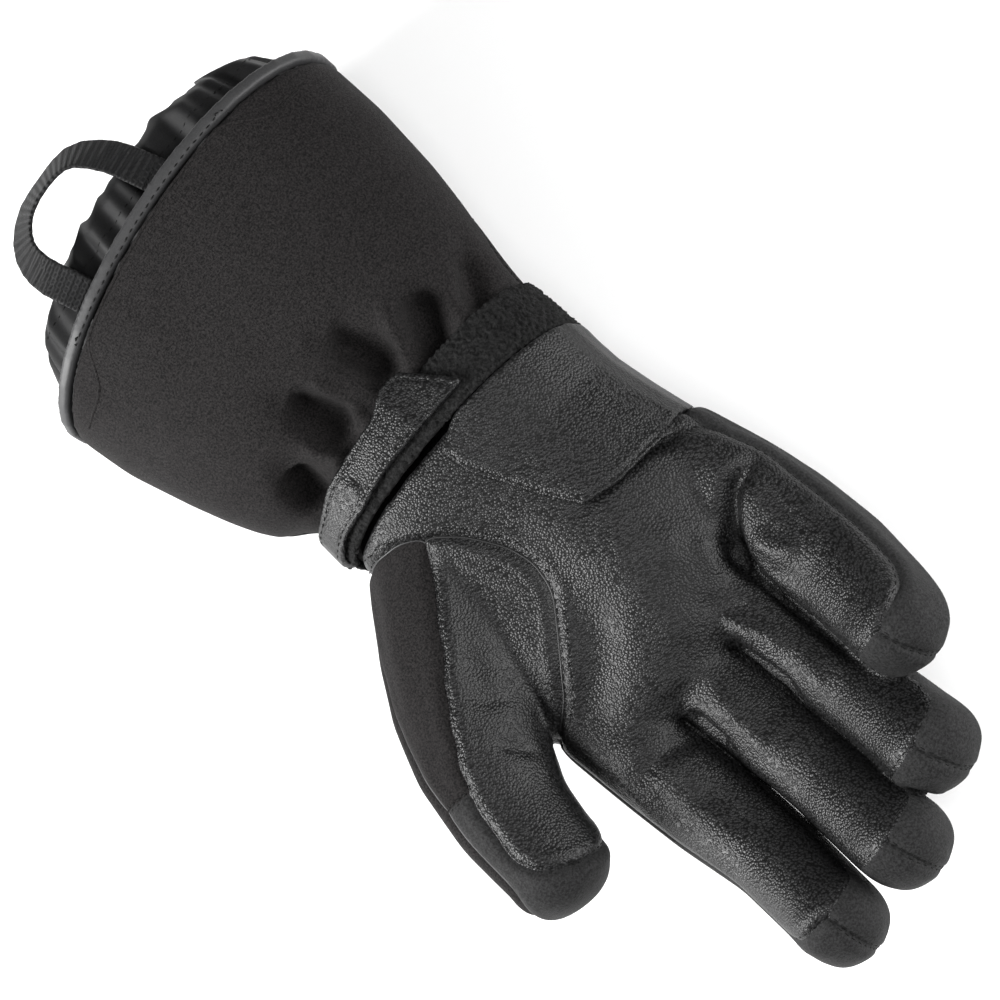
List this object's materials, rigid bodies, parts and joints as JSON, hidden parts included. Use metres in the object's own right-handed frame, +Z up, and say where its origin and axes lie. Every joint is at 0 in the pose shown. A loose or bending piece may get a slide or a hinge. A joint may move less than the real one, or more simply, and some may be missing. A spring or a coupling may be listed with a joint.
{
  "type": "heated glove",
  "caption": "Black padded right-hand gauntlet glove with a leather palm, softshell back, strapped wrist, gathered inner cuff and pull loop, lying palm up.",
  "frame": {"origin": "under the middle of the glove's box, on the surface that it lies on", "axes": "+Z up out of the palm, +Y from the cuff to the fingertips, +X to the thumb side"},
  "size_m": [0.1796, 0.3698, 0.0764],
  "materials": {
    "leather": "black pebbled leather, half matt with a soft shine on its wrinkles",
    "softshell": "black matt softshell cloth with a fine short nap",
    "nubuck": "black matt nubuck",
    "binding": "smooth mid-grey binding tape",
    "woven_nylon": "black woven nylon with a satin sheen",
    "webbing": "black ribbed webbing",
    "loop_tape": "black fuzzy loop tape"
  },
  "bodies": {
    "root": {"gauntlet_front": "softshell", "gauntlet_back": "softshell", "edge_binding": "binding", "inner_cuff": "woven_nylon", "pull_loop": "webbing", "wrist_tape": "loop_tape", "strap_tab": "leather", "palm_leather": "leather", "heel_patch": "leather", "back_shell": "softshell", "index_strip_thumbward": "nubuck", "index_strip_outward": "nubuck", "middle_strip_thumbward": "nubuck", "middle_strip_outward": "nubuck", "ring_strip_thumbward": "nubuck", "ring_strip_outward": "nubuck", "little_strip_thumbward": "nubuck", "little_strip_outward": "nubuck", "thumb_leather": "leather", "thumb_strip": "softshell", "thumb_back": "softshell", "thumb_tip": "nubuck"}
  },
  "joints": []
}
